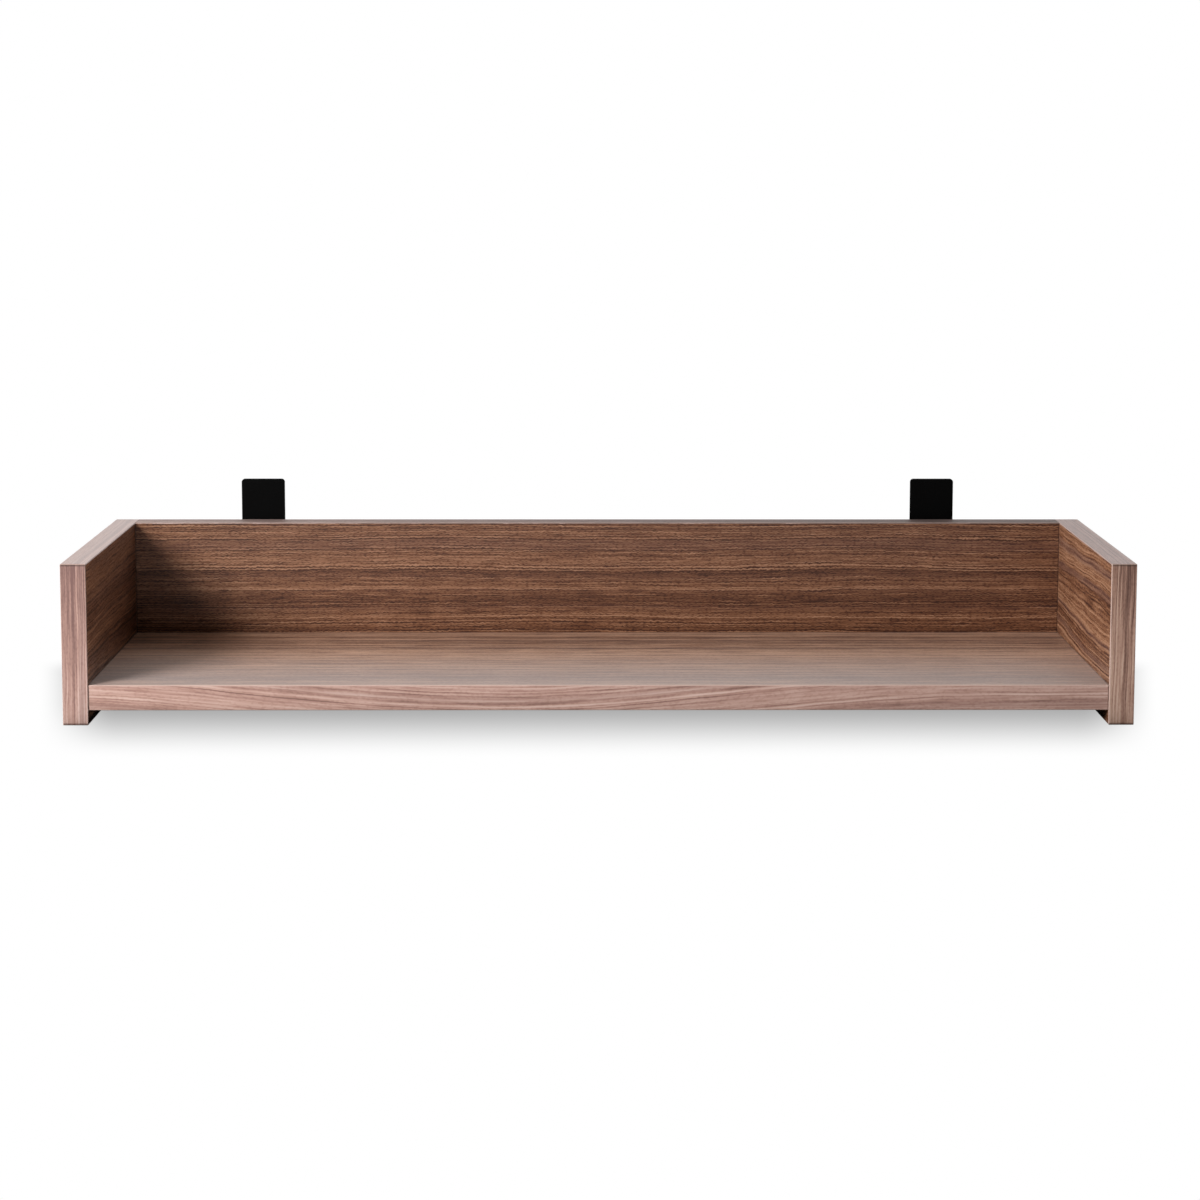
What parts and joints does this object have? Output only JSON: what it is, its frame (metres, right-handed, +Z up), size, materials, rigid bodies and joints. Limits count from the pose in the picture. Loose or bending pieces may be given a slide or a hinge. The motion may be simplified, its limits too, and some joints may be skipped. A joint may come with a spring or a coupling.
{
  "type": "wall shelf with brackets",
  "caption": "Open wall shelf in walnut-veneered board with a low back and raised ends, hung on L-shaped black steel brackets whose upright legs end in tabs above the back.",
  "frame": {"origin": "centre of the four wall-screw holes, in the plane of the wall (the brackets' rear faces)", "axes": "+X to the right of somebody who faces the shelf, +Y into the wall, +Z up"},
  "size_m": [0.9, 0.247, 0.175],
  "materials": {
    "walnut_face": "walnut veneer, satin lacquer",
    "walnut_band": "walnut edge band, satin lacquer",
    "board_core": "bare fibreboard",
    "dowel_beech": "bare beech",
    "bracket_steel": "fine-textured black powder coat on steel",
    "insert_brass": "turned",
    "screw_steel": "black oxide"
  },
  "bodies": {
    "root": {"side_core_left": "board_core", "side_veneer_inner_left": "walnut_face", "side_veneer_outer_left": "walnut_face", "side_band_front_left": "walnut_band", "side_band_rear_left": "walnut_band", "side_band_top_left": "walnut_band", "side_band_bottom_left": "walnut_band", "side_core_right": "board_core", "side_veneer_inner_right": "walnut_face", "side_veneer_outer_right": "walnut_face", "side_band_front_right": "walnut_band", "side_band_rear_right": "walnut_band", "side_band_top_right": "walnut_band", "side_band_bottom_right": "walnut_band", "base_core": "board_core", "base_veneer_top": "walnut_face", "base_veneer_bottom": "walnut_face", "base_band_front": "walnut_band", "back_core": "board_core", "back_veneer_front": "walnut_face", "back_veneer_rear": "walnut_face", "back_band_top": "walnut_band", "back_band_bottom": "walnut_band", "bracket_left": "bracket_steel", "bracket_right": "bracket_steel", "base_inserts_left": "insert_brass", "arm_screws_left": "screw_steel", "side_base_dowels_left": "dowel_beech", "side_back_dowels_left": "dowel_beech", "base_inserts_right": "insert_brass", "arm_screws_right": "screw_steel", "side_base_dowels_right": "dowel_beech", "side_back_dowels_right": "dowel_beech", "base_back_dowels": "dowel_beech"}
  },
  "joints": []
}
